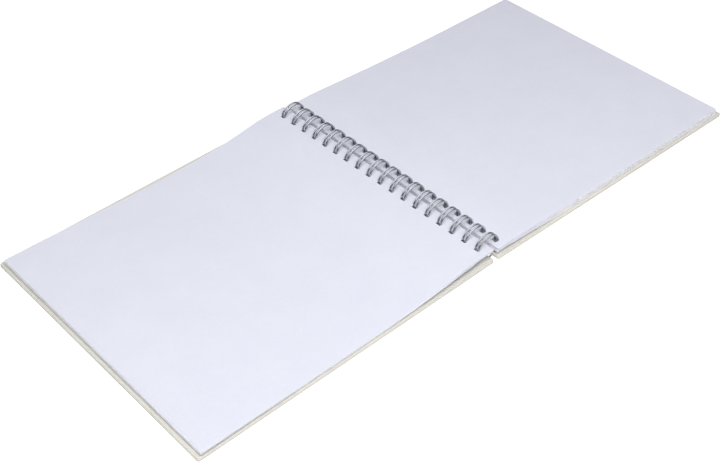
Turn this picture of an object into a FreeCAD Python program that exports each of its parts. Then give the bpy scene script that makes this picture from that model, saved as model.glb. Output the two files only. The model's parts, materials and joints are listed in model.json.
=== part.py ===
import FreeCAD, Part, Sketcher
import math
import os

# A twin-loop wire-bound sketchbook lying open and flat.
#
# Frame: millimetres, +Z up.  The origin is on the table under the middle of the
# spine.  +X runs towards the back cover (right half), -X towards the front
# cover (left half), +Y runs along the spine away from the front edge.
# The wire's axis is parallel to Y at height ring_height above the table.

doc = FreeCAD.newDocument("sketchbook")

# --------------------------------------------------------------------------
# Driving dimensions
# --------------------------------------------------------------------------
sheet = doc.addObject("Spreadsheet::Sheet", "Dims")

values = [
    # covers
    ("cover_width", 172.5, "cover, spine edge to fore edge"),
    ("cover_length", 160.0, "cover, along the spine"),
    ("cover_thickness", 2.0, "covering sheet, board and liner together"),
    ("cover_fore", 174.4, "fore edge of each cover from the spine axis"),
    ("cover_lift", 2.5, "underside of each cover at its spine edge, above the table"),
    ("cover_corner", 0.6, "small chamfer on the cover's four corners"),
    ("wrap_thickness", 0.3, "outer covering sheet, also turned up round the board"),
    ("liner_thickness", 0.15, "inner lining sheet"),
    ("liner_inset", 1.2, "liner edge inside the cover edge"),
    # leaves
    ("leaf_width", 170.2, "leaf, spine edge to fore edge"),
    ("leaf_length", 156.4, "leaf, along the spine"),
    ("leaf_thickness", 0.14, "one sheet of drawing paper"),
    ("leaf_step", 0.18, "rise from one left leaf to the next"),
    ("leaf_spine", 1.6, "spine edge of the leaves from the spine axis"),
    # holes
    ("hole_size", 4.0, "cover: square hole, side"),
    ("hole_corner", 0.7, "cover: cut corner of the hole"),
    ("cover_margin", 1.9, "cover: spine edge to the hole"),
    ("leaf_hole_across", 4.2, "leaf: hole, across the spine"),
    ("leaf_hole_along", 3.4, "leaf: hole, along the spine"),
    ("leaf_hole_corner", 0.3, "leaf: cut corner of the hole"),
    ("hole_margin", 2.15, "leaf: spine edge to the hole"),
    ("hole_pitch", 25.4 / 3.0, "three holes to the inch"),
    ("hole_count", 18, "holes along the spine"),
    ("cover_row", -1.2, "middle of the row of holes from the cover's middle"),
    ("leaf_row", -0.8, "middle of the row of holes from the leaf's middle"),
    # wire
    ("wire_radius", 0.475, "round wire"),
    ("ring_radius", 6.85, "centre line of the closed loops"),
    ("ring_height", 7.375, "loop centre above the table"),
    ("wire_gap", 2.0, "centre distance of the two wires of one loop"),
    ("seam_angle", -18.0, "angle of the connecting bars about the loop centre, degrees"),
    ("nose_gap", 10.5, "angle from the bars to the tip of the closed loops, degrees"),
    ("seam_bend", 0.8, "bend radius between loop and connecting bar"),
]

# Undersides of leaves: distance from the spine axis, then height above the table.
# left: lowest left leaf.  lifted: the top left leaf, brought down by its place in
# the stack.  right and upper: lowest and top right leaf; the leaves between them
# are spread evenly from one to the other.
left_profile = [
    (1.6, 8.50), (5.0, 8.46), (8.0, 8.40), (11.5, 8.30), (15.0, 8.14), (18.5, 7.94),
    (22.0, 7.66), (27.0, 7.14), (32.0, 6.55), (38.0, 5.86), (45.0, 5.22), (52.0, 4.72),
    (60.0, 4.28), (68.0, 3.95), (76.0, 3.71), (85.0, 3.50), (95.0, 3.34), (110.0, 3.18),
    (130.0, 3.03), (150.0, 2.90), (171.8, 2.78),
]
lifted_profile = [
    (1.6, 8.50), (5.0, 8.46), (8.0, 8.40), (11.5, 8.30), (15.0, 8.14), (18.5, 7.94),
    (22.0, 7.66), (27.0, 7.14), (32.0, 6.55), (38.0, 5.86), (45.0, 5.22), (52.0, 4.72),
    (60.0, 4.28), (68.0, 3.96), (76.0, 3.74), (85.0, 3.56), (95.0, 3.46), (110.0, 3.42),
    (130.0, 3.46), (150.0, 3.56), (171.8, 3.68),
]
right_profile = [
    (1.6, 6.02), (5.0, 6.07), (8.0, 6.12), (11.5, 6.14), (15.0, 6.13), (18.5, 6.08),
    (22.0, 5.96), (26.0, 5.75), (31.0, 5.42), (37.0, 4.98), (44.0, 4.50), (52.0, 4.08),
    (60.0, 3.80), (69.0, 3.60), (78.0, 3.46), (88.0, 3.32), (100.0, 3.15), (115.0, 2.94),
    (133.0, 2.69), (152.0, 2.42), (171.8, 2.15),
]
upper_profile = [
    (1.6, 8.06), (5.0, 8.10), (8.0, 8.14), (11.5, 8.17), (15.0, 8.18), (18.5, 8.16),
    (22.0, 8.08), (26.0, 7.92), (31.0, 7.68), (37.0, 7.38), (44.0, 7.05), (52.0, 6.72),
    (60.0, 6.48), (69.0, 6.28), (78.0, 6.12), (88.0, 5.97), (100.0, 5.82), (115.0, 5.66),
    (133.0, 5.52), (152.0, 5.42), (171.8, 5.34),
]
profiles = (
    ("left", left_profile), ("lifted", lifted_profile), ("right", right_profile), ("upper", upper_profile),
)
for prefix, profile in profiles:
    for i, (across, up) in enumerate(profile):
        values.append(("%s_across_%02d" % (prefix, i), across, "leaf profile, distance from the spine axis"))
        values.append(("%s_up_%02d" % (prefix, i), up, "leaf profile, height above the table"))

# Small offsets of each loosely bound leaf: sideways, along the spine, and turn in its own plane.
leaves = [
    # name, half, profile, place in its stack, sideways, along, turn in degrees
    ("left_leaf_1", -1, "left", 0, -0.52, -0.36, 0.36),
    ("left_leaf_2", -1, "left", 1, -0.40, -0.44, 0.40),
    ("left_leaf_3", -1, "left", 2, -0.48, -0.38, 0.34),
    ("left_leaf_4", -1, "left", 3, -0.35, -0.42, 0.38),
    ("left_leaf_5", -1, "left", 4, -0.42, -0.34, 0.36),
    ("left_leaf_6", -1, "lifted", 5, -0.28, -0.40, 0.42),
    ("right_leaf_1", 1, "right", 0, -0.30, -0.33, -0.02),
    ("right_leaf_2", 1, "right", 1, -0.42, -0.44, 0.03),
    ("right_leaf_3", 1, "right", 2, -0.25, -0.36, -0.03),
    ("right_leaf_4", 1, "right", 3, -0.38, -0.46, 0.02),
    ("right_leaf_5", 1, "right", 4, -0.22, -0.32, 0.04),
    ("right_leaf_6", 1, "right", 5, -0.44, -0.40, -0.02),
    ("right_leaf_7", 1, "right", 6, -0.30, -0.35, 0.03),
    ("right_leaf_8", 1, "right", 7, -0.48, -0.45, 0.01),
    ("right_leaf_9", 1, "right", 8, -0.26, -0.38, -0.03),
    ("right_leaf_10", 1, "right", 9, -0.40, -0.32, 0.02),
    ("right_leaf_11", 1, "right", 10, -0.28, -0.43, -0.02),
    ("right_leaf_12", 1, "right", 11, -0.44, -0.36, 0.03),
    ("right_leaf_13", 1, "right", 12, -0.34, -0.38, 0.00),
]
right_count = len([leaf for leaf in leaves if leaf[1] > 0])
for name, half, profile, place, sideways, along, turn in leaves:
    values.append((name + "_sideways", sideways, "offset of the leaf across the spine"))
    values.append((name + "_along", along, "offset of the leaf along the spine"))
    values.append((name + "_turn", turn, "turn of the leaf in its own plane, degrees"))

dim = {}
for row, (alias, value, note) in enumerate(values, start=1):
    sheet.set("A%d" % row, alias)
    sheet.set("B%d" % row, repr(float(value)) if not isinstance(value, int) else str(value))
    sheet.set("C%d" % row, note)
    sheet.setAlias("B%d" % row, alias)
    dim[alias] = float(value)
doc.recompute()


# --------------------------------------------------------------------------
# Sketch helpers
# --------------------------------------------------------------------------
def plane(body, role):
    return [f for f in body.Origin.OriginFeatures if f.Role == role][0]


def closed_sketch(body, name, role, points, height=None):
    """A closed outline of straight lines on one of the body's own planes.

    points: a list of ((value, expression), (value, expression)) per corner, in
    sketch coordinates, each tied to the origin by its expression.
    """
    sketch = body.newObject("Sketcher::SketchObject", name)
    sketch.AttachmentSupport = [(plane(body, role), "")]
    sketch.MapMode = "FlatFace"
    if height:
        sketch.setExpression("AttachmentOffset.Base.z", height)
    corners = [FreeCAD.Vector(p[0][0], p[1][0], 0) for p in points]
    count = len(corners)
    for i in range(count):
        sketch.addGeometry(Part.LineSegment(corners[i], corners[(i + 1) % count]), False)
    ties = [Sketcher.Constraint("Coincident", i, 2, (i + 1) % count, 1) for i in range(count)]
    bound = []
    for i, (across, up) in enumerate(points):
        for kind, (value, expression) in (("DistanceX", across), ("DistanceY", up)):
            if abs(value) < 1e-9:
                # the corner lies on the axis itself
                axis = -2 if kind == "DistanceX" else -1
                ties.append(Sketcher.Constraint("PointOnObject", i, 1, axis))
            else:
                bound.append((len(ties), expression))
                ties.append(Sketcher.Constraint(kind, -1, 1, i, 1, value))
    sketch.addConstraint(ties)
    for index, expression in bound:
        sketch.setExpression("Constraints[%d]" % index, expression)
    return sketch


def pad(body, name, sketch, length, symmetric=False):
    feature = body.newObject("PartDesign::Pad", name)
    feature.Profile = sketch
    feature.Type = "Length"
    feature.SideType = "Symmetric" if symmetric else "One side"
    feature.setExpression("Length", length)
    return feature


def pocket(body, name, sketch, length, symmetric=False, reversed_=False):
    feature = body.newObject("PartDesign::Pocket", name)
    feature.Profile = sketch
    feature.Type = "Length"
    feature.SideType = "Symmetric" if symmetric else "One side"
    feature.Reversed = reversed_
    feature.setExpression("Length", length)
    return feature


def cut_rectangle(cx, cy, across, along, corner):
    """Corners of a rectangle with cut corners. Every argument: (value, expression)."""
    cut = corner[0]
    out = []
    for sx, sy, order in ((-1, -1, 0), (1, -1, 1), (1, 1, 0), (-1, 1, 1)):
        plus_x, plus_y = ("+" if sx > 0 else "-"), ("+" if sy > 0 else "-")
        a = (
            (cx[0] + sx * (across[0] / 2.0 - cut), "%s %s (%s / 2 - %s)" % (cx[1], plus_x, across[1], corner[1])),
            (cy[0] + sy * along[0] / 2.0, "%s %s %s / 2" % (cy[1], plus_y, along[1])),
        )
        b = (
            (cx[0] + sx * across[0] / 2.0, "%s %s %s / 2" % (cx[1], plus_x, across[1])),
            (cy[0] + sy * (along[0] / 2.0 - cut), "%s %s (%s / 2 - %s)" % (cy[1], plus_y, along[1], corner[1])),
        )
        # the outline runs anticlockwise: the order of the two ends of each cut alternates
        out += [b, a] if order == 0 else [a, b]
    return out


def row_of_holes(body, centre_across, row, across, along, corner):
    """Cut the whole row of holes along the spine.

    centre_across: (value, expression); row, across, along, corner: names in Dims.
    """
    first = (
        dim[row] - (dim["hole_count"] - 1) / 2.0 * dim["hole_pitch"],
        "Dims.%s - (Dims.hole_count - 1) / 2 * Dims.hole_pitch" % row,
    )
    points = cut_rectangle(
        centre_across, first, (dim[across], "Dims." + across), (dim[along], "Dims." + along),
        (dim[corner], "Dims." + corner),
    )
    sketch = closed_sketch(body, body.Name + "_hole_outline", "XY_Plane", points)
    hole = pocket(body, body.Name + "_hole", sketch, "60", symmetric=True)
    pattern = body.newObject("PartDesign::LinearPattern", body.Name + "_hole_row")
    pattern.Originals = [hole]
    pattern.Direction = (sketch, ["V_Axis"])
    pattern.Mode = "Extent"
    pattern.setExpression("Length", "(Dims.hole_count - 1) * Dims.hole_pitch")
    pattern.setExpression("Occurrences", "Dims.hole_count")
    body.Tip = pattern
    return pattern


subparts = []

# --------------------------------------------------------------------------
# Covers.  Each is built flat, with its fore edge's lower corner at its own
# origin, and then tilted: the fore edge rests on the table and the spine edge
# rests on the inside of the loops.
# --------------------------------------------------------------------------
tilt = math.degrees(math.asin(dim["cover_lift"] / dim["cover_width"]))


def rectangle(half, near, far, side, corner):
    """Cover outline with cut corners; near/far: distances from the fore edge; side: half length."""
    s = "" if half < 0 else "-"
    sign = 1 if half < 0 else -1
    (nv, ne), (fv, fe), (lv, le), (cv, ce) = near, far, side, corner
    pts = [
        ((nv + cv, "(%s + %s)" % (ne, ce)), (-lv, "-(%s)" % le)),
        ((fv - cv, "(%s - %s)" % (fe, ce)), (-lv, "-(%s)" % le)),
        ((fv, "(%s)" % fe), (-lv + cv, "-(%s - %s)" % (le, ce))),
        ((fv, "(%s)" % fe), (lv - cv, "(%s - %s)" % (le, ce))),
        ((fv - cv, "(%s - %s)" % (fe, ce)), (lv, "(%s)" % le)),
        ((nv + cv, "(%s + %s)" % (ne, ce)), (lv, "(%s)" % le)),
        ((nv, "(%s)" % ne), (lv - cv, "(%s - %s)" % (le, ce))),
        ((nv, "(%s)" % ne), (-lv + cv, "-(%s - %s)" % (le, ce))),
    ]
    out = [((sign * a[0], s + a[1]), b) for a, b in pts]
    return out if sign > 0 else out[::-1]


def seat_cover_piece(body, half):
    body.Placement = FreeCAD.Placement(
        FreeCAD.Vector(half * dim["cover_fore"], 0, 0),
        FreeCAD.Rotation(FreeCAD.Vector(0, 1, 0), half * tilt),
    )
    body.setExpression("Placement.Base.x", "%s Dims.cover_fore" % ("" if half > 0 else "-"))


cover_hole = ("cover_row", "hole_size", "hole_size", "hole_corner")
leaf_hole = ("leaf_row", "leaf_hole_across", "leaf_hole_along", "leaf_hole_corner")

for cover, half in (("back_cover", 1), ("front_cover", -1)):
    sign = 1 if half < 0 else -1
    minus = "" if half < 0 else "-"
    hole_centre = (
        sign * (dim["cover_width"] - dim["cover_margin"] - dim["hole_size"] / 2),
        minus + "(Dims.cover_width - Dims.cover_margin - Dims.hole_size / 2)",
    )

    # covering sheet: the outer face, turned up round all four edges of the board
    wrap = doc.addObject("PartDesign::Body", cover + "_wrap")
    outline = closed_sketch(
        wrap, wrap.Name + "_outline", "XY_Plane",
        rectangle(half, (0.0, "0 * Dims.cover_width"), (dim["cover_width"], "Dims.cover_width"),
                  (dim["cover_length"] / 2, "Dims.cover_length / 2"), (dim["cover_corner"], "Dims.cover_corner")),
    )
    pad(wrap, wrap.Name + "_block", outline, "Dims.cover_thickness - Dims.liner_thickness")
    recess = closed_sketch(
        wrap, wrap.Name + "_recess_outline", "XY_Plane",
        rectangle(half, (dim["wrap_thickness"], "Dims.wrap_thickness"),
                  (dim["cover_width"] - dim["wrap_thickness"], "Dims.cover_width - Dims.wrap_thickness"),
                  (dim["cover_length"] / 2 - dim["wrap_thickness"], "Dims.cover_length / 2 - Dims.wrap_thickness"),
                  (dim["cover_corner"], "Dims.cover_corner")),
        height="Dims.wrap_thickness",
    )
    pocket(wrap, wrap.Name + "_recess", recess, "Dims.cover_thickness", reversed_=True)
    row_of_holes(wrap, hole_centre, *cover_hole)

    # stiff board inside the covering sheet
    board = doc.addObject("PartDesign::Body", cover + "_board")
    outline = closed_sketch(
        board, board.Name + "_outline", "XY_Plane",
        rectangle(half, (dim["wrap_thickness"], "Dims.wrap_thickness"),
                  (dim["cover_width"] - dim["wrap_thickness"], "Dims.cover_width - Dims.wrap_thickness"),
                  (dim["cover_length"] / 2 - dim["wrap_thickness"], "Dims.cover_length / 2 - Dims.wrap_thickness"),
                  (dim["cover_corner"], "Dims.cover_corner")),
        height="Dims.wrap_thickness",
    )
    pad(board, board.Name + "_plate", outline,
        "Dims.cover_thickness - Dims.liner_thickness - Dims.wrap_thickness")
    row_of_holes(board, hole_centre, *cover_hole)

    # lining sheet pasted on the inner face
    liner = doc.addObject("PartDesign::Body", cover + "_liner")
    outline = closed_sketch(
        liner, liner.Name + "_outline", "XY_Plane",
        rectangle(half, (dim["liner_inset"], "Dims.liner_inset"),
                  (dim["cover_width"] - dim["liner_inset"], "Dims.cover_width - Dims.liner_inset"),
                  (dim["cover_length"] / 2 - dim["liner_inset"], "Dims.cover_length / 2 - Dims.liner_inset"),
                  (dim["cover_corner"] / 2, "Dims.cover_corner / 2")),
        height="Dims.cover_thickness - Dims.liner_thickness",
    )
    pad(liner, liner.Name + "_sheet", outline, "Dims.liner_thickness")
    row_of_holes(liner, hole_centre, *cover_hole)

    for body in (wrap, board, liner):
        seat_cover_piece(body, half)
        body.Label = body.Name
        subparts.append(body)

# --------------------------------------------------------------------------
# Leaves.  Each is one sheet whose cross-section follows the way the stack
# lies: flat on the cover towards the fore edge and rising to the wire at the
# spine.  The left leaves share one curve and sit one step apart; the right leaves
# spread a little more towards the fore edge.
# --------------------------------------------------------------------------
for name, half, profile, place, sideways, along, turn in leaves:
    body = doc.addObject("PartDesign::Body", name)
    s = "" if half > 0 else "-"
    count = len(left_profile)
    lower, upper = [], []
    for i in range(count):
        across = (half * dim["%s_across_%02d" % (profile, i)], "%sDims.%s_across_%02d" % (s, profile, i))
        up = "Dims.%s_up_%02d" % (profile, i)
        value = dim["%s_up_%02d" % (profile, i)]
        if half > 0:
            top = "upper_up_%02d" % i
            share = float(place) / (right_count - 1)
            up = "%s + %d / %d * (Dims.%s - %s)" % (up, place, right_count - 1, top, up)
            value += share * (dim[top] - value)
        lower.append((across, (value, up)))
        upper.append((across, (value + dim["leaf_thickness"], up + " + Dims.leaf_thickness")))
    section = closed_sketch(body, name + "_section", "XZ_Plane", lower + upper[::-1])
    pad(body, name + "_sheet", section, "Dims.leaf_length", symmetric=True)
    row_of_holes(
        body,
        (half * (dim["leaf_spine"] + dim["hole_margin"] + dim["leaf_hole_across"] / 2),
         "%s(Dims.leaf_spine + Dims.hole_margin + Dims.leaf_hole_across / 2)" % s),
        *leaf_hole,
    )
    body.Placement = FreeCAD.Placement(
        FreeCAD.Vector(sideways, along, place * dim["leaf_step"] if half < 0 else 0),
        FreeCAD.Rotation(FreeCAD.Vector(0, 0, 1), turn),
    )
    body.setExpression("Placement.Base.x", "Dims.%s_sideways" % name)
    body.setExpression("Placement.Base.y", "Dims.%s_along" % name)
    if half < 0:
        body.setExpression("Placement.Base.z", "%d * Dims.leaf_step" % place)
    body.Label = name
    subparts.append(body)

# --------------------------------------------------------------------------
# Twin-loop wire: one length of wire bent into pairs of loops.  Each loop is two
# parallel wires joined by a round tip, and neighbouring loops are joined by a
# straight bar.  The bars and the tips meet at the seam, between the back cover
# and the leaves.
# --------------------------------------------------------------------------
R = dim["ring_radius"]
axis_height = dim["ring_height"]
half_gap = dim["wire_gap"] / 2.0
bend = dim["seam_bend"]
bend_angle = math.degrees(bend / R)
start = dim["seam_angle"] - bend_angle
tip_radius = half_gap
end = dim["seam_angle"] - 360.0 + dim["nose_gap"] + math.degrees(tip_radius / R)


def on_ring(angle, y):
    a = math.radians(angle)
    return FreeCAD.Vector(R * math.cos(a), y, axis_height + R * math.sin(a))


def along_ring(angle):
    """Unit tangent in the direction of growing angle."""
    a = math.radians(angle)
    return FreeCAD.Vector(-math.sin(a), 0, math.cos(a))


def quarter(p, t, y_sign, radius):
    """Quarter bend from p, leaving along t, to the +-Y direction."""
    y = FreeCAD.Vector(0, y_sign, 0)
    centre = p + y * radius
    mid = centre - y * (radius * math.cos(math.pi / 4)) + t * (radius * math.sin(math.pi / 4))
    return mid, centre + t * radius


edges = []
stations = [
    dim["cover_row"] + (i - (int(dim["hole_count"]) - 1) / 2.0) * dim["hole_pitch"]
    for i in range(int(dim["hole_count"]))
]
for i, y in enumerate(stations):
    for side in (-1, 1):
        yy = y + side * half_gap
        a, b = on_ring(start, yy), on_ring(end, yy)
        arc = Part.Arc(a, on_ring((start + end) / 2.0, yy), b) if side < 0 else \
            Part.Arc(b, on_ring((start + end) / 2.0, yy), a)
        edges.append(arc.toShape())
        if side < 0:
            # round tip joining the two wires of the loop
            t = along_ring(end) * -1.0
            tip = on_ring(end, y) + t * tip_radius
            edges.append(Part.Arc(b, tip, on_ring(end, y + half_gap)).toShape())
    if i + 1 < len(stations):
        p = on_ring(start, y + half_gap)
        t = along_ring(start)
        mid, q = quarter(p, t, 1, bend)
        edges.append(Part.Arc(p, mid, q).toShape())
        p2 = on_ring(start, stations[i + 1] - half_gap)
        mid2, q2 = quarter(p2, t, -1, bend)
        edges.append(Part.LineSegment(q, q2).toShape())
        edges.append(Part.Arc(q2, mid2, p2).toShape())
path_wire = Part.Wire(edges)
path = doc.addObject("Part::Feature", "wire_centre_line")
path.Shape = path_wire

section = doc.addObject("Part::Circle", "wire_section")
section.setExpression("Radius", "Dims.wire_radius")
first = on_ring(start, stations[0] - half_gap)
section.Placement = FreeCAD.Placement(
    first, FreeCAD.Rotation(FreeCAD.Vector(0, 0, 1), along_ring(start) * -1.0)
)
wire = doc.addObject("Part::Sweep", "twin_loop_wire")
wire.Sections = [section]
wire.Spine = (path, ["Edge%d" % (i + 1) for i in range(len(edges))])
wire.Solid = True
wire.Frenet = False
wire.Transition = "Transformed"
wire.Label = "twin_loop_wire"
subparts.append(wire)

doc.recompute()

# --------------------------------------------------------------------------
# Checks, then one file for each sub-part
# --------------------------------------------------------------------------
for obj in doc.Objects:
    state = [str(s) for s in obj.State]
    if any(("Invalid" in s) or ("Error" in s) for s in state):
        raise SystemExit("%s failed: %s" % (obj.Name, state))

print("path length", round(path_wire.Length, 2), "wire volume", round(wire.Shape.Volume, 2),
      "section x length", round(math.pi * dim["wire_radius"] ** 2 * path_wire.Length, 2))
for obj in subparts:
    shape = obj.Shape
    if shape.isNull() or not shape.isValid() or shape.Volume <= 0:
        raise SystemExit("%s has no valid shape" % obj.Label)
    if len(shape.Solids) != 1:
        raise SystemExit("%s is %d solids" % (obj.Label, len(shape.Solids)))
    box = shape.BoundBox
    print("%-18s volume %9.2f  x %8.2f %8.2f  y %7.2f %7.2f  z %6.2f %6.2f  faces %d" % (
        obj.Label, shape.Volume, box.XMin, box.XMax, box.YMin, box.YMax, box.ZMin, box.ZMax, len(shape.Faces)))

os.makedirs("parts", exist_ok=True)
for obj in subparts:
    obj.Shape.exportStep("parts/%s.step" % obj.Label)
print(len(subparts), "sub-parts written")
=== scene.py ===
import json
import math

import bpy
import bmesh
import numpy as np
from mathutils import Matrix, Vector


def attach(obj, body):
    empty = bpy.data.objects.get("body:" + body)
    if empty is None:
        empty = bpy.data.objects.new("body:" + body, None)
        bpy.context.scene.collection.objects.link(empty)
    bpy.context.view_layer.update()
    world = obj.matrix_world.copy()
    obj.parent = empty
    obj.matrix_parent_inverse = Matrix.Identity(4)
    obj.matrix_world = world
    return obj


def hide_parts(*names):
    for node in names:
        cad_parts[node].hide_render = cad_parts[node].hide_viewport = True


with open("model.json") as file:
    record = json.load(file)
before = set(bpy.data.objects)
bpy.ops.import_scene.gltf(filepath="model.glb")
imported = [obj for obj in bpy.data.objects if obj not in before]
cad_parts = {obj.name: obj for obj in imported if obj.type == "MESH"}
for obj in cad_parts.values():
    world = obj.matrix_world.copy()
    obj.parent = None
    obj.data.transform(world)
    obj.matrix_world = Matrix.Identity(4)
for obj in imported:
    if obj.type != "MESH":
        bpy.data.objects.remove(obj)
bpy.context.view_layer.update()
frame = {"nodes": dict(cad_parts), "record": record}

MM = 0.001

# ---------------------------------------------------------------------------
# Sizes shared with the frame, in millimetres
# ---------------------------------------------------------------------------
COVER_W, COVER_L, COVER_T = 172.5, 160.0, 2.0
COVER_FORE, COVER_LIFT = 174.4, 2.5
LINER_T = 0.15
TILT = math.asin(COVER_LIFT / COVER_W)
PITCH, COUNT = 25.4 / 3.0, 18
ROW_Y = -1.2
LEAF_L, LEAF_T, LEAF_STEP = 156.4, 0.14, 0.18
LEAF_ROW = -0.8
RING_R, RING_Z, WIRE_R, GAP = 6.85, 7.375, 0.475, 2.0
SEAM, NOSE, BEND = -18.0, 10.5, 0.8

# Undersides of leaves: distance from the spine axis, then height above the table.
LEFT = [
    (1.6, 8.50), (5.0, 8.46), (8.0, 8.40), (11.5, 8.30), (15.0, 8.14), (18.5, 7.94),
    (22.0, 7.66), (27.0, 7.14), (32.0, 6.55), (38.0, 5.86), (45.0, 5.22), (52.0, 4.72),
    (60.0, 4.28), (68.0, 3.95), (76.0, 3.71), (85.0, 3.50), (95.0, 3.34), (110.0, 3.18),
    (130.0, 3.03), (150.0, 2.90), (171.8, 2.78),
]
LIFTED = [
    (1.6, 8.50), (5.0, 8.46), (8.0, 8.40), (11.5, 8.30), (15.0, 8.14), (18.5, 7.94),
    (22.0, 7.66), (27.0, 7.14), (32.0, 6.55), (38.0, 5.86), (45.0, 5.22), (52.0, 4.72),
    (60.0, 4.28), (68.0, 3.96), (76.0, 3.74), (85.0, 3.56), (95.0, 3.46), (110.0, 3.42),
    (130.0, 3.46), (150.0, 3.56), (171.8, 3.68),
]
RIGHT = [
    (1.6, 6.02), (5.0, 6.07), (8.0, 6.12), (11.5, 6.14), (15.0, 6.13), (18.5, 6.08),
    (22.0, 5.96), (26.0, 5.75), (31.0, 5.42), (37.0, 4.98), (44.0, 4.50), (52.0, 4.08),
    (60.0, 3.80), (69.0, 3.60), (78.0, 3.46), (88.0, 3.32), (100.0, 3.15), (115.0, 2.94),
    (133.0, 2.69), (152.0, 2.42), (171.8, 2.15),
]
UPPER = [
    (1.6, 8.06), (5.0, 8.10), (8.0, 8.14), (11.5, 8.17), (15.0, 8.18), (18.5, 8.16),
    (22.0, 8.08), (26.0, 7.92), (31.0, 7.68), (37.0, 7.38), (44.0, 7.05), (52.0, 6.72),
    (60.0, 6.48), (69.0, 6.28), (78.0, 6.12), (88.0, 5.97), (100.0, 5.82), (115.0, 5.66),
    (133.0, 5.52), (152.0, 5.42), (171.8, 5.34),
]
# name, half, place in its stack, sideways, along, turn in degrees
LEAVES = [
    ("left_leaf_1", -1, 0, -0.92, -0.86, 0.08),
    ("left_leaf_2", -1, 1, -0.80, -0.94, 0.12),
    ("left_leaf_3", -1, 2, -0.86, -0.84, 0.06),
    ("left_leaf_4", -1, 3, -0.72, -0.90, 0.12),
    ("left_leaf_5", -1, 4, -0.74, -0.80, 0.14),
    ("left_leaf_6", -1, 5, -0.36, -0.37, 0.46),
    ("right_leaf_1", 1, 0, -0.30, -0.33, -0.02),
    ("right_leaf_2", 1, 1, -0.42, -0.44, 0.03),
    ("right_leaf_3", 1, 2, -0.25, -0.36, -0.03),
    ("right_leaf_4", 1, 3, -0.38, -0.46, 0.02),
    ("right_leaf_5", 1, 4, -0.22, -0.32, 0.04),
    ("right_leaf_6", 1, 5, -0.44, -0.40, -0.02),
    ("right_leaf_7", 1, 6, -0.30, -0.35, 0.03),
    ("right_leaf_8", 1, 7, -0.48, -0.45, 0.01),
    ("right_leaf_9", 1, 8, -0.26, -0.38, -0.03),
    ("right_leaf_10", 1, 9, -0.40, -0.32, 0.02),
    ("right_leaf_11", 1, 10, -0.28, -0.43, -0.02),
    ("right_leaf_12", 1, 11, -0.44, -0.36, 0.03),
    ("right_leaf_13", 1, 12, -0.34, -0.38, 0.00),
]
LEFT_COUNT = len([leaf for leaf in LEAVES if leaf[1] < 0])
RIGHT_COUNT = len(LEAVES) - LEFT_COUNT


# ---------------------------------------------------------------------------
# Materials.  All are procedural, in the pieces' own coordinates.
# ---------------------------------------------------------------------------
def new_material(name):
    m = bpy.data.materials.new(name)
    m.use_nodes = True
    nt = m.node_tree
    nt.nodes.clear()
    out = nt.nodes.new("ShaderNodeOutputMaterial")
    shader = nt.nodes.new("ShaderNodeBsdfPrincipled")
    nt.links.new(shader.outputs["BSDF"], out.inputs["Surface"])
    return m, nt, shader


def coords(nt, scale=(1.0, 1.0, 1.0)):
    tex = nt.nodes.new("ShaderNodeTexCoord")
    mapping = nt.nodes.new("ShaderNodeMapping")
    mapping.inputs["Scale"].default_value = scale
    nt.links.new(tex.outputs["Object"], mapping.inputs["Vector"])
    return mapping.outputs["Vector"]


def noise(nt, vector, scale, detail=3.0, rough=0.55, distortion=0.0):
    n = nt.nodes.new("ShaderNodeTexNoise")
    n.inputs["Scale"].default_value = scale
    n.inputs["Detail"].default_value = detail
    n.inputs["Roughness"].default_value = rough
    n.inputs["Distortion"].default_value = distortion
    nt.links.new(vector, n.inputs["Vector"])
    return n.outputs["Fac"]


def ramp(nt, fac, stops):
    r = nt.nodes.new("ShaderNodeValToRGB")
    while len(r.color_ramp.elements) > 1:
        r.color_ramp.elements.remove(r.color_ramp.elements[-1])
    r.color_ramp.elements[0].position = stops[0][0]
    r.color_ramp.elements[0].color = (*stops[0][1], 1.0)
    for pos, col in stops[1:]:
        e = r.color_ramp.elements.new(pos)
        e.color = (*col, 1.0)
    nt.links.new(fac, r.inputs["Fac"])
    return r.outputs["Color"]


def mix(nt, kind, fac, a, b):
    m = nt.nodes.new("ShaderNodeMix")
    m.data_type = "RGBA"
    m.blend_type = kind
    if isinstance(fac, (int, float)):
        m.inputs[0].default_value = fac
    else:
        nt.links.new(fac, m.inputs[0])
    for sock, value in ((m.inputs[6], a), (m.inputs[7], b)):
        if isinstance(value, tuple):
            sock.default_value = (*value, 1.0)
        else:
            nt.links.new(value, sock)
    return m.outputs[2]


def remap(nt, fac, lo, hi, from_lo=0.0, from_hi=1.0):
    m = nt.nodes.new("ShaderNodeMapRange")
    m.inputs["From Min"].default_value = from_lo
    m.inputs["From Max"].default_value = from_hi
    m.inputs["To Min"].default_value = lo
    m.inputs["To Max"].default_value = hi
    nt.links.new(fac, m.inputs["Value"])
    return m.outputs["Result"]


def math_node(nt, op, a, b):
    m = nt.nodes.new("ShaderNodeMath")
    m.operation = op
    for sock, value in ((m.inputs[0], a), (m.inputs[1], b)):
        if isinstance(value, (int, float)):
            sock.default_value = value
        else:
            nt.links.new(value, sock)
    return m.outputs[0]


def bump(nt, shader, height, strength, distance):
    b = nt.nodes.new("ShaderNodeBump")
    b.inputs["Strength"].default_value = strength
    b.inputs["Distance"].default_value = distance
    nt.links.new(height, b.inputs["Height"])
    nt.links.new(b.outputs["Normal"], shader.inputs["Normal"])
    return b


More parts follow.
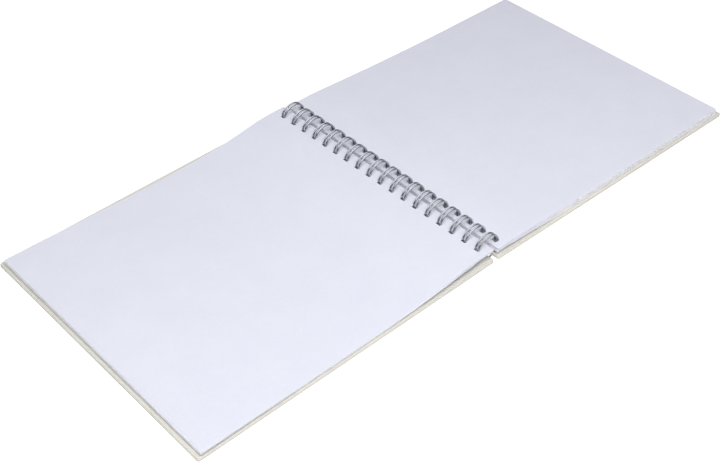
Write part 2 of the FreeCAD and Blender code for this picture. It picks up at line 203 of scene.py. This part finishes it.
def paper_material():
    m, nt, sh = new_material("drawing_paper")
    v = coords(nt)
    tooth = noise(nt, v, 1500.0, 4.0, 0.6)
    grain = noise(nt, coords(nt, (900.0, 420.0, 900.0)), 1.0, 3.0, 0.6, 0.4)
    cloud = noise(nt, v, 60.0, 4.0, 0.6)
    fibre = noise(nt, coords(nt, (260.0, 2600.0, 900.0)), 1.0, 2.0, 0.5, 1.2)
    base = ramp(nt, cloud, [(0.30, (0.780, 0.792, 0.884)), (0.70, (0.802, 0.814, 0.904))])
    specks = ramp(nt, tooth, [(0.30, (0.968, 0.969, 0.974)), (0.62, (1.0, 1.0, 1.0))])
    c = mix(nt, "MULTIPLY", 1.0, base, specks)
    fib = ramp(nt, fibre, [(0.30, (0.975, 0.976, 0.981)), (0.45, (1.0, 1.0, 1.0))])
    c = mix(nt, "MULTIPLY", 1.0, c, fib)
    # painted bounce light: the upright cut edges away from the spine are painted lighter and warmer than the
    # smooth faces, in place of warm light thrown up from the floor
    normal = nt.nodes.new("ShaderNodeTexCoord")
    split = nt.nodes.new("ShaderNodeSeparateXYZ")
    nt.links.new(normal.outputs["Normal"], split.inputs["Vector"])
    upright = remap(nt, math_node(nt, "ABSOLUTE", split.outputs["Z"], 0.0), 1.0, 0.0, 0.35, 0.75)
    place = nt.nodes.new("ShaderNodeSeparateXYZ")
    nt.links.new(v, place.inputs["Vector"])
    outer = remap(nt, math_node(nt, "ABSOLUTE", place.outputs["X"], 0.0), 0.0, 1.0, 0.02, 0.05)
    smoother = remap(nt, upright, 0.30, 0.04)
    upright = math_node(nt, "MULTIPLY", upright, outer)
    plies = noise(nt, coords(nt, (60.0, 60.0, 9000.0)), 1.0, 2.0, 0.5, 0.2)
    # painted warm bounce light on the sideways-facing edges; the ply streaks in it are the edges' own texture
    painted_edge_bounce = ramp(nt, plies, [(0.30, (0.89, 0.88, 0.87)), (0.55, (0.93, 0.92, 0.91))])
    c = mix(nt, "MIX", upright, c, painted_edge_bounce)
    nt.links.new(c, sh.inputs["Base Color"])
    nt.links.new(remap(nt, grain, 0.80, 0.95), sh.inputs["Roughness"])
    sh.inputs["Specular IOR Level"].default_value = 0.22
    h = math_node(nt, "ADD", math_node(nt, "MULTIPLY", tooth, 0.6), math_node(nt, "MULTIPLY", grain, 0.5))
    b = bump(nt, sh, h, 0.30, 0.00005)
    # the tooth belongs to the faces; the cut edges are smoother
    nt.links.new(smoother, b.inputs["Strength"])
    # a little light passes through each sheet
    through = nt.nodes.new("ShaderNodeBsdfTranslucent")
    nt.links.new(c, through.inputs["Color"])
    nt.links.new(b.outputs["Normal"], through.inputs["Normal"])
    blend = nt.nodes.new("ShaderNodeMixShader")
    blend.inputs[0].default_value = 0.16
    nt.links.new(sh.outputs["BSDF"], blend.inputs[1])
    nt.links.new(through.outputs["BSDF"], blend.inputs[2])
    out = [n for n in nt.nodes if n.bl_idname == "ShaderNodeOutputMaterial"][0]
    nt.links.new(blend.outputs["Shader"], out.inputs["Surface"])
    return m


def cover_material(name, tone_a, tone_b, rough, speck):
    """Cream covering or lining sheet: a felt-marked card with short fibres."""
    m, nt, sh = new_material(name)
    v = coords(nt)
    felt = noise(nt, coords(nt, (700.0, 1100.0, 900.0)), 1.0, 4.0, 0.62, 0.5)
    cloud = noise(nt, v, 35.0, 5.0, 0.6)
    fine = noise(nt, v, 2200.0, 3.0, 0.6)
    fibre = noise(nt, coords(nt, (320.0, 2600.0, 1000.0)), 1.0, 2.0, 0.5, 1.5)
    base = ramp(nt, cloud, [(0.28, tone_a), (0.72, tone_b)])
    marks = ramp(nt, felt, [(0.30, (speck, speck * 0.995, speck * 0.985)), (0.60, (1.0, 1.0, 1.0))])
    c = mix(nt, "MULTIPLY", 1.0, base, marks)
    threads = ramp(nt, fibre, [(0.28, (0.93, 0.915, 0.89)), (0.42, (1.0, 1.0, 1.0))])
    c = mix(nt, "MULTIPLY", 1.0, c, threads)
    nt.links.new(c, sh.inputs["Base Color"])
    nt.links.new(remap(nt, felt, rough - 0.08, rough + 0.08), sh.inputs["Roughness"])
    sh.inputs["Specular IOR Level"].default_value = 0.3
    h = math_node(nt, "ADD", math_node(nt, "MULTIPLY", felt, 0.7), math_node(nt, "MULTIPLY", fine, 0.3))
    bump(nt, sh, h, 0.4, 0.00008)
    return m


def board_material():
    """Raw pasteboard: greyish cream plies with fibres, seen in the punched holes."""
    m, nt, sh = new_material("raw_board")
    plies = noise(nt, coords(nt, (120.0, 120.0, 5200.0)), 1.0, 3.0, 0.6, 0.3)
    speck = noise(nt, coords(nt), 1800.0, 4.0, 0.65)
    base = ramp(nt, plies, [(0.30, (0.44, 0.40, 0.33)), (0.55, (0.58, 0.54, 0.46)), (0.75, (0.66, 0.62, 0.54))])
    spots = ramp(nt, speck, [(0.30, (0.80, 0.79, 0.77)), (0.60, (1.0, 1.0, 1.0))])
    nt.links.new(mix(nt, "MULTIPLY", 1.0, base, spots), sh.inputs["Base Color"])
    nt.links.new(remap(nt, speck, 0.82, 0.98), sh.inputs["Roughness"])
    sh.inputs["Specular IOR Level"].default_value = 0.15
    bump(nt, sh, plies, 0.5, 0.0001)
    return m


def wire_material():
    """Bright nickel-plated wire: fine draw lines and a slightly uneven plating."""
    m, nt, sh = new_material("plated_wire")
    v = coords(nt)
    cloud = noise(nt, v, 220.0, 4.0, 0.6)
    fine = noise(nt, v, 2600.0, 4.0, 0.65)
    base = ramp(nt, cloud, [(0.30, (0.42, 0.43, 0.46)), (0.70, (0.53, 0.54, 0.57))])
    tiny = ramp(nt, fine, [(0.25, (0.82, 0.82, 0.84)), (0.60, (1.0, 1.0, 1.0))])
    nt.links.new(mix(nt, "MULTIPLY", 1.0, base, tiny), sh.inputs["Base Color"])
    sh.inputs["Metallic"].default_value = 1.0
    nt.links.new(remap(nt, fine, 0.13, 0.25), sh.inputs["Roughness"])
    bump(nt, sh, fine, 0.12, 0.00002)
    return m


PAPER = paper_material()
COVER = cover_material("cover_paper", (0.606, 0.596, 0.548), (0.656, 0.646, 0.598), 0.62, 0.965)
LINER = cover_material("lining_paper", (0.636, 0.628, 0.584), (0.690, 0.682, 0.636), 0.72, 0.970)
BOARD = board_material()
WIRE = wire_material()


# ---------------------------------------------------------------------------
# Mesh helpers
# ---------------------------------------------------------------------------
def make_object(name, verts_mm, faces, material, sharp_deg=35.0):
    mesh = bpy.data.meshes.new(name)
    mesh.from_pydata([tuple(v) for v in (np.asarray(verts_mm, float) * MM).tolist()], [], faces)
    mesh.validate()
    mesh.polygons.foreach_set("use_smooth", [True] * len(mesh.polygons))
    mesh.set_sharp_from_angle(angle=math.radians(sharp_deg))
    mesh.materials.append(material)
    mesh.update()
    obj = bpy.data.objects.new(name, mesh)
    bpy.context.scene.collection.objects.link(obj)
    return obj


def monotone(xs, ys, at):
    """Smooth curve through the points that never overshoots between two of them."""
    xs, ys, at = np.asarray(xs, float), np.asarray(ys, float), np.asarray(at, float)
    h = np.diff(xs)
    d = np.diff(ys) / h
    m = np.zeros_like(xs)
    for i in range(1, len(xs) - 1):
        if d[i - 1] * d[i] > 0:
            w1, w2 = 2 * h[i] + h[i - 1], h[i] + 2 * h[i - 1]
            m[i] = (w1 + w2) / (w1 / d[i - 1] + w2 / d[i])
    m[0], m[-1] = d[0], d[-1]
    k = np.clip(np.searchsorted(xs, at) - 1, 0, len(xs) - 2)
    t = (at - xs[k]) / h[k]
    return (
        (2 * t**3 - 3 * t**2 + 1) * ys[k] + (t**3 - 2 * t**2 + t) * h[k] * m[k]
        + (-2 * t**3 + 3 * t**2) * ys[k + 1] + (t**3 - t**2) * h[k] * m[k + 1]
    )


def smooth(x, a, b):
    t = np.clip((np.asarray(x, float) - a) / (b - a), 0.0, 1.0)
    return t * t * (3 - 2 * t)


# ---------------------------------------------------------------------------
# Leaves: one thin sheet each, with its row of punched holes
# ---------------------------------------------------------------------------
def leaf_height(half, place, x, y):
    """Underside of a leaf: x from the spine, y along it."""
    def curve(table):
        pts = np.array(table)
        return monotone(pts[:, 0], pts[:, 1], np.maximum(x, pts[0, 0]))

    far = (y + LEAF_L / 2) / LEAF_L
    if half < 0:
        # the stack opens towards the far fore corner and lies flatter at the near one
        out = smooth(x, 70.0, 172.0)
        near = 1 - smooth(far, 0.05, 0.6)
        first = curve(LEFT)
        last = curve(LIFTED) + (LEFT_COUNT - 1) * LEAF_STEP + out * (-0.40 * near + 0.60 * smooth(far, 0.3, 1.0))
        count = LEFT_COUNT
    else:
        first = curve(RIGHT)
        raised = -0.15 * smooth(x, 20.0, 60.0) * smooth(far, 0.2, 1.0)
        wave = 0.03 * np.sin(far * 5.1 + x * 0.02) * smooth(x, 30, 80)
        last = curve(UPPER) + raised + wave
        count = RIGHT_COUNT
    if place == count - 1:
        return last
    # the lower leaves fill the height under the top one evenly
    return first + place / (count - 2.0) * (last - LEAF_STEP - first)


def build_leaf(name, half, place, sideways, along, turn, k):
    count = LEFT_COUNT if half < 0 else RIGHT_COUNT
    top = place == count - 1
    # the punched holes sit round the two wires of each loop and leave them room as the leaves turn
    if half < 0:
        hx0, hx1, along_h = 4.6 if top else 5.8, 7.56, 3.08
    else:
        hx0, hx1, along_h = 4.6 if top else 4.15, 7.45, 3.10
    across = hx1 - hx0
    # the spine edges of the loose leaves do not line up exactly
    share = place / (count - 1.0)
    jog = 0.07 * math.sin(2.3 * place + (0.6 if half < 0 else 2.0))
    if half < 0:
        edge_x = 1.25 - 0.55 * share + (0.0 if top else jog)
    else:
        edge_x = 1.75 + 0.50 * share + (0.0 if top else jog)
        along -= 0.35 * (1.0 - share)
    cx, a, b = (hx0 + hx1) / 2, across / 2, along_h / 2
    pad = 0.55
    bx = np.linspace(hx0 - pad, hx1 + pad, k + 1)
    rest = [9.6, 11.0, 12.8, 14.8, 17, 19.2, 21.5, 24, 26.5, 29, 32, 35, 38, 41.5, 45, 49, 53, 57, 61.5, 66, 71,
            76, 82, 88, 95, 102, 110, 118, 127, 136, 145, 154, 162, 168, 171.8]
    lead = np.linspace(edge_x, hx0 - pad, 4)[:3]
    xs = np.concatenate([lead, bx, rest])
    ia, ib = 3, 3 + k
    holes = [LEAF_ROW + (i - (COUNT - 1) / 2.0) * PITCH for i in range(COUNT)]
    ys, blocks = [-LEAF_L / 2], []
    for i, hy in enumerate(holes):
        lo, hi = hy - b - pad, hy + b + pad
        gap = lo - ys[-1]
        n = 2
        ys += [ys[-1] + gap * (j + 1) / n for j in range(n - 1)]
        ja = len(ys)
        ys += np.linspace(lo, hi, k + 1).tolist()
        blocks.append((ja, ja + k, hy))
    gap = LEAF_L / 2 - ys[-1]
    ys += [ys[-1] + gap * (j + 1) / 3 for j in range(3)]
    ys = np.array(ys)
    nx, ny = len(xs), len(ys)
    inside = np.zeros((nx, ny), bool)
    cell_out = np.zeros((nx - 1, ny - 1), bool)
    for ja, jb, _ in blocks:
        inside[ia + 1:ib, ja + 1:jb] = True
        cell_out[ia:ib, ja:jb] = True
    index = -np.ones((nx, ny), int)
    pts = []
    for i in range(nx):
        for j in range(ny):
            if not inside[i, j]:
                index[i, j] = len(pts)
                pts.append((xs[i], ys[j]))
    quads = [
        (index[i, j], index[i + 1, j], index[i + 1, j + 1], index[i, j + 1])
        for i in range(nx - 1) for j in range(ny - 1) if not cell_out[i, j]
    ]
    hole_loops = []
    for ja, jb, hy in blocks:
        ring = [(i, ja) for i in range(ia, ib)] + [(ib, j) for j in range(ja, jb)]
        ring += [(i, jb) for i in range(ib, ia, -1)] + [(ia, j) for j in range(jb, ja, -1)]
        inner = []
        for i, j in ring:
            u = (i - (ia + ib) / 2) / (k / 2)
            w = (j - (ja + jb) / 2) / (k / 2)
            s = (abs(u) ** 6 + abs(w) ** 6) ** (1 / 6)
            inner.append(len(pts))
            pts.append((cx + a * u / s, hy + b * w / s))
        outer = [index[i, j] for i, j in ring]
        for m in range(len(ring)):
            n = (m + 1) % len(ring)
            quads.append((outer[m], outer[n], inner[n], inner[m]))
        hole_loops.append(inner)
    edge = [index[i, 0] for i in range(nx)] + [index[nx - 1, j] for j in range(1, ny)]
    edge += [index[i, ny - 1] for i in range(nx - 2, -1, -1)] + [index[0, j] for j in range(ny - 2, 0, -1)]
    pts = np.array(pts)
    z = leaf_height(half, place, pts[:, 0], pts[:, 1])
    # the leaf keeps its holes on the wire and takes its own small offset and turn away from it
    c, s = math.cos(math.radians(turn)), math.sin(math.radians(turn))
    X, Y = half * pts[:, 0], pts[:, 1]
    w = smooth(pts[:, 0], 8.5, 40.0)
    gx = X + w * (c * X - s * Y + sideways - X)
    gy = Y + (ROW_Y - LEAF_ROW) + w * (s * X + c * Y + along - Y - (ROW_Y - LEAF_ROW))
    # the far edges are not quite square to the spine
    far = smooth(Y / LEAF_L + 0.5, 0.3, 1.0)
    gy = gy - 0.9 * far * (smooth(pts[:, 0], 40.0, 110.0) if half > 0 else 1 - smooth(pts[:, 0], 90.0, 140.0)) * w
    low = z
    if place < count - 1:
        # the lower leaves lie close and carry their sheets down to the one below
        if place:
            under = leaf_height(half, place - 1, pts[:, 0], pts[:, 1]) + LEAF_T + 0.02
        else:
            under = (COVER_FORE - pts[:, 0]) * math.tan(TILT) + COVER_T / math.cos(TILT) + 0.06
        if half > 0:
            deep = 0.45 * smooth(pts[:, 0], 9.0, 14.0)
        elif place:
            deep = 0.45 * smooth(pts[:, 0], 20.0, 60.0)
        else:
            deep = 0.55 * smooth(pts[:, 0], 10.0, 16.0) * (1 - smooth(pts[:, 0], 28.0, 40.0))
        low = np.maximum(np.minimum(z, under), z - deep)
    n = len(pts)
    verts = np.vstack([np.column_stack([gx, gy, z + LEAF_T]), np.column_stack([gx, gy, low])])
    # half > 0: a quad listed above runs anticlockwise from above
    faces = []
    up = half > 0
    for q in quads:
        faces.append(q if up else q[::-1])
        low = tuple(v + n for v in q)
        faces.append(low[::-1] if up else low)
    for loop, out in [(edge, True)] + [(h, False) for h in hole_loops]:
        for m in range(len(loop)):
            p, r = loop[m], loop[(m + 1) % len(loop)]
            f = (p, p + n, r + n, r)
            if out != up:
                f = f[::-1]
            faces.append(f)
    return make_object(name + "_sheet", verts, [tuple(int(v) for v in f) for f in faces], PAPER, 40.0)


bodies_of = {}
for body, members in frame["record"]["behaviour"]["bodies"].items():
    for node in members:
        bodies_of[node] = body

for spec in LEAVES:
    sheet = build_leaf(*spec, k=6 if spec[0] in ("left_leaf_6", "right_leaf_13") else 4)
    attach(sheet, bodies_of[spec[0]])
    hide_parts(spec[0])


# ---------------------------------------------------------------------------
# Covers: the covering sheet with rounded edges, turned in over the board
# ---------------------------------------------------------------------------
def outline(inset, radius, steps=5):
    """Rounded rectangle in the cover's own plane: u from the fore edge, v along the spine."""
    r = max(radius - inset, 0.05)
    # the covering sheet is wrapped a little past the board at the spine
    past = 0.5 if inset < 1.0 else 0.0
    u0, u1, v0, v1 = inset, COVER_W + past - inset, -COVER_L / 2 + inset, COVER_L / 2 - inset
    out = []
    for cu, cv, start in ((u1 - r, v0 + r, -90), (u1 - r, v1 - r, 0), (u0 + r, v1 - r, 90), (u0 + r, v0 + r, 180)):
        for s in range(steps + 1):
            a = math.radians(start + 90.0 * s / steps)
            out.append((cu + r * math.cos(a), cv + r * math.sin(a)))
    return out


def hole_outline(cu, cv, half_side, power=7.0, count=24):
    out = []
    for i in range(count):
        a = 2 * math.pi * i / count
        u, w = math.cos(a), math.sin(a)
        s = (abs(u) ** power + abs(w) ** power) ** (1 / power)
        out.append((cu + half_side * u / s, cv + half_side * w / s))
    return out


def build_cover(cover, half):
    bm = bmesh.new()
    top = COVER_T - LINER_T
    sections = [
        (0.45, 0.0), (0.20, 0.05), (0.06, 0.18), (0.0, 0.42), (0.0, 1.38), (0.05, 1.62), (0.18, 1.80), (0.42, top + 0.03),
        (1.75, top + 0.02), (1.75, top), (0.30, top), (0.30, 0.30),
    ]
    rings = []
    for inset, z in sections:
        rings.append([bm.verts.new((u, v, z)) for u, v in outline(inset, 1.1)])
    n = len(rings[0])
    for a, b in zip(rings, rings[1:]):
        for i in range(n):
            j = (i + 1) % n
            bm.faces.new((a[i], a[j], b[j], b[i]))
    cu = COVER_W - 1.9 - 2.0
    centres = [ROW_Y + (i - (COUNT - 1) / 2.0) * PITCH for i in range(COUNT)]
    low_holes, high_holes = [], []
    for cv in centres:
        lo = [bm.verts.new((u, v, 0.0)) for u, v in hole_outline(cu, cv, 2.02)]
        hi = [bm.verts.new((u, v, 0.30)) for u, v in hole_outline(cu, cv, 2.02)]
        for i in range(len(lo)):
            j = (i + 1) % len(lo)
            bm.faces.new((lo[j], lo[i], hi[i], hi[j]))
        low_holes.append(lo)
        high_holes.append(hi)
    for boundary, holes in ((rings[0], low_holes), (rings[-1], high_holes)):
        edges = []
        for loop in [boundary] + holes:
            for i in range(len(loop)):
                e = bm.edges.get((loop[i], loop[(i + 1) % len(loop)]))
                edges.append(e)
        bmesh.ops.triangle_fill(bm, use_beauty=True, use_dissolve=False, edges=edges)
    bmesh.ops.recalc_face_normals(bm, faces=bm.faces)
    for v in bm.verts:
        u, w, z = v.co
        x = -half * u
        t = half * TILT
        v.co = Vector(((half * COVER_FORE + x * math.cos(t) + z * math.sin(t)) * MM, w * MM,
                       (-x * math.sin(t) + z * math.cos(t)) * MM))
    bmesh.ops.recalc_face_normals(bm, faces=bm.faces)
    mesh = bpy.data.meshes.new(cover + "_sheet")
    bm.to_mesh(mesh)
    bm.free()
    mesh.polygons.foreach_set("use_smooth", [True] * len(mesh.polygons))
    mesh.set_sharp_from_angle(angle=math.radians(38))
    mesh.materials.append(COVER)
    obj = bpy.data.objects.new(cover + "_sheet", mesh)
    bpy.context.scene.collection.objects.link(obj)
    return obj


for cover, half in (("back_cover", 1), ("front_cover", -1)):
    sheet = build_cover(cover, half)
    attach(sheet, cover)
    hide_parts(cover + "_wrap")
    for node, material in ((cover + "_board", BOARD), (cover + "_liner", LINER)):
        obj = frame["nodes"][node]
        if obj.data.materials:
            for i in range(len(obj.data.materials)):
                obj.data.materials[i] = material
        else:
            obj.data.materials.append(material)


# ---------------------------------------------------------------------------
# Twin-loop wire: a round tube along one long path of loops, tips and bars
# ---------------------------------------------------------------------------
def on_ring(angle, y):
    a = math.radians(angle)
    return np.array([RING_R * math.cos(a), y, RING_Z + RING_R * math.sin(a)])


def along_ring(angle):
    a = math.radians(angle)
    return np.array([-math.sin(a), 0.0, math.cos(a)])


def wire_path():
    start = SEAM - math.degrees(BEND / RING_R)
    end = SEAM - 360.0 + NOSE + math.degrees((GAP / 2) / RING_R)
    stations = [ROW_Y + (i - (COUNT - 1) / 2.0) * PITCH for i in range(COUNT)]
    pts = []

    def add(p):
        if not pts or np.linalg.norm(pts[-1] - p) > 1e-6:
            pts.append(p)

    y_axis = np.array([0.0, 1.0, 0.0])
    steps = 64
    for i, y in enumerate(stations):
        for s in range(steps + 1):
            add(on_ring(start + (end - start) * s / steps, y - GAP / 2))
        t = along_ring(end) * -1.0
        base = on_ring(end, y)
        for s in range(1, 12):
            a = math.pi * s / 12
            add(base - y_axis * (GAP / 2) * math.cos(a) + t * (GAP / 2) * math.sin(a))
        for s in range(steps + 1):
            add(on_ring(end + (start - end) * s / steps, y + GAP / 2))
        if i + 1 < len(stations):
            t = along_ring(start)
            for s in range(1, 7):
                a = math.pi / 2 * s / 6
                add(on_ring(start, y + GAP / 2) + y_axis * BEND * (1 - math.cos(a)) + t * BEND * math.sin(a))
            for s in range(6, 0, -1):
                a = math.pi / 2 * s / 6
                add(on_ring(start, stations[i + 1] - GAP / 2) - y_axis * BEND * (1 - math.cos(a)) + t * BEND * math.sin(a))
    return np.array(pts)


def tube(path, radius, sides):
    tangents = np.gradient(path, axis=0)
    tangents /= np.linalg.norm(tangents, axis=1)[:, None]
    normal = np.cross(tangents[0], [0.0, 1.0, 0.0])
    normal /= np.linalg.norm(normal)
    verts, faces = [], []
    for k in range(len(path)):
        if k:
            normal = normal - tangents[k] * np.dot(normal, tangents[k])
            normal /= np.linalg.norm(normal)
        side = np.cross(tangents[k], normal)
        for s in range(sides):
            a = 2 * math.pi * s / sides
            verts.append(path[k] + radius * (math.cos(a) * normal + math.sin(a) * side))
    for k in range(len(path) - 1):
        for s in range(sides):
            t = (s + 1) % sides
            faces.append((k * sides + s, k * sides + t, (k + 1) * sides + t, (k + 1) * sides + s))
    # rounded cut ends
    for k, sign in ((0, -1.0), (len(path) - 1, 1.0)):
        ring = [k * sides + s for s in range(sides)]
        for shrink, out in ((0.86, 0.28), (0.50, 0.46)):
            new = []
            for s in range(sides):
                v = path[k] + (verts[k * sides + s] - path[k]) * shrink + tangents[k] * sign * radius * out * 0.5
                new.append(len(verts))
                verts.append(v)
            for s in range(sides):
                t = (s + 1) % sides
                f = (ring[s], ring[t], new[t], new[s])
                faces.append(f if sign > 0 else f[::-1])
            ring = new
        faces.append(tuple(ring) if sign > 0 else tuple(ring[::-1]))
    return np.array(verts), faces


wire_verts, wire_faces = tube(wire_path(), WIRE_R - 0.015, 16)
wire = make_object("twin_loop_wire_round", wire_verts, wire_faces, WIRE, 50.0)
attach(wire, "wire")
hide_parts("twin_loop_wire")


# ---------------------------------------------------------------------------
# Floor, light and camera
# ---------------------------------------------------------------------------
def build_floor():
    m, nt, sh = new_material("studio_floor")
    v = coords(nt)
    cloud = noise(nt, v, 3.0, 3.0, 0.5)
    nt.links.new(ramp(nt, cloud, [(0.3, (0.33, 0.33, 0.33)), (0.7, (0.35, 0.35, 0.35))]), sh.inputs["Base Color"])
    sh.inputs["Roughness"].default_value = 0.9
    sh.inputs["Specular IOR Level"].default_value = 0.0
    # the floor looks white to the eye, and throws back less light than a white sheet would
    sh.inputs["Emission Color"].default_value = (1.0, 0.985, 0.965, 1.0)
    kind = nt.nodes.new("ShaderNodeLightPath")
    seen = remap(nt, kind.outputs["Is Camera Ray"], 0.82, 0.93)
    mirrored = remap(nt, kind.outputs["Is Glossy Ray"], 0.0, 0.32)
    nt.links.new(math_node(nt, "SUBTRACT", seen, mirrored), sh.inputs["Emission Strength"])
    n = 12
    verts, faces = [], []
    for i in range(n + 1):
        for j in range(n + 1):
            verts.append((-6000.0 + 12000.0 * i / n, -6000.0 + 12000.0 * j / n, -0.05))
    for i in range(n):
        for j in range(n):
            a = i * (n + 1) + j
            faces.append((a, a + n + 1, a + n + 2, a + 1))
    floor = make_object("studio_floor", verts, faces, m)


build_floor()


def area_light(name, place, target, size, energy, colour=(1.0, 1.0, 1.0)):
    data = bpy.data.lights.new(name, "AREA")
    data.shape = "RECTANGLE"
    data.size, data.size_y = size
    data.energy = energy
    data.color = colour
    obj = bpy.data.objects.new(name, data)
    bpy.context.scene.collection.objects.link(obj)
    obj.location = place
    obj.rotation_euler = (Vector(target) - Vector(place)).to_track_quat("-Z", "Y").to_euler()
    obj.visible_glossy = False
    return obj


area_light("key_soft", (-0.20, -0.32, 0.66), (-0.02, 0.0, 0.0), (0.6, 0.6), 6.3, (1.0, 0.995, 0.985))
area_light("top_soft", (0.05, 0.25, 1.5), (0.0, 0.0, 0.0), (1.0, 1.0), 1.0, (0.97, 0.98, 1.0))

world = bpy.data.worlds.new("studio")
bpy.context.scene.world = world
world.use_nodes = True
wt = world.node_tree
wt.nodes.clear()
w_out = wt.nodes.new("ShaderNodeOutputWorld")
tc = wt.nodes.new("ShaderNodeTexCoord")
sep = wt.nodes.new("ShaderNodeSeparateXYZ")
wt.links.new(tc.outputs["Generated"], sep.inputs["Vector"])
sky = wt.nodes.new("ShaderNodeValToRGB")
sky.color_ramp.elements[0].position = 0.0
sky.color_ramp.elements[0].color = (0.04, 0.04, 0.05, 1)
sky.color_ramp.elements[1].position = 1.0
sky.color_ramp.elements[1].color = (1.0, 1.0, 1.0, 1)
e = sky.color_ramp.elements.new(0.42)
e.color = (0.05, 0.05, 0.065, 1)
e = sky.color_ramp.elements.new(0.66)
e.color = (0.85, 0.86, 0.90, 1)
wt.links.new(sep.outputs["Z"], sky.inputs["Fac"])
glossy = wt.nodes.new("ShaderNodeBackground")
wt.links.new(sky.outputs["Color"], glossy.inputs["Color"])
glossy.inputs["Strength"].default_value = 2.0
plain = wt.nodes.new("ShaderNodeBackground")
plain.inputs["Color"].default_value = (0.96, 0.97, 1.0, 1)
plain.inputs["Strength"].default_value = 0.285
white = wt.nodes.new("ShaderNodeBackground")
white.inputs["Color"].default_value = (1.0, 1.0, 1.0, 1)
white.inputs["Strength"].default_value = 1.0
path_kind = wt.nodes.new("ShaderNodeLightPath")
mix_a = wt.nodes.new("ShaderNodeMixShader")
wt.links.new(path_kind.outputs["Is Glossy Ray"], mix_a.inputs[0])
wt.links.new(plain.outputs[0], mix_a.inputs[1])
wt.links.new(glossy.outputs[0], mix_a.inputs[2])
mix_b = wt.nodes.new("ShaderNodeMixShader")
wt.links.new(path_kind.outputs["Is Camera Ray"], mix_b.inputs[0])
wt.links.new(mix_a.outputs[0], mix_b.inputs[1])
wt.links.new(white.outputs[0], mix_b.inputs[2])
wt.links.new(mix_b.outputs[0], w_out.inputs["Surface"])

scene = bpy.context.scene
scene.view_settings.view_transform = "Standard"
scene.view_settings.look = "None"
scene.view_settings.exposure = 0.0
scene.view_settings.gamma = 1.0

# The camera stands at the near left, looking down across the spine.
CAM_AZ, CAM_EL, CAM_ROLL = math.radians(40.784), math.radians(41.309), math.radians(-1.332)
CAM_PLACE = (-338.97, -374.81, 414.32)
CAM_LENS = 1282.29 / 720.0 * 36.0
forward = Vector((math.sin(CAM_AZ) * math.cos(CAM_EL), math.cos(CAM_AZ) * math.cos(CAM_EL), -math.sin(CAM_EL)))
right = Vector((math.cos(CAM_AZ), -math.sin(CAM_AZ), 0.0))
up = right.cross(forward)
cr, sr = math.cos(CAM_ROLL), math.sin(CAM_ROLL)
right_r = right * cr + up * sr
up_r = up * cr - right * sr
camera_data = bpy.data.cameras.new("photo_view")
camera_data.sensor_width = 36.0
camera_data.sensor_fit = "HORIZONTAL"
camera_data.lens = CAM_LENS
camera_data.clip_start = 0.01
camera_data.clip_end = 50.0
camera = bpy.data.objects.new("photo_view", camera_data)
scene.collection.objects.link(camera)
m = Matrix.Identity(4)
for r in range(3):
    m[r][0], m[r][1], m[r][2], m[r][3] = right_r[r], up_r[r], -forward[r], CAM_PLACE[r] * MM
camera.matrix_world = m
scene.camera = camera

bpy.context.view_layer.update()
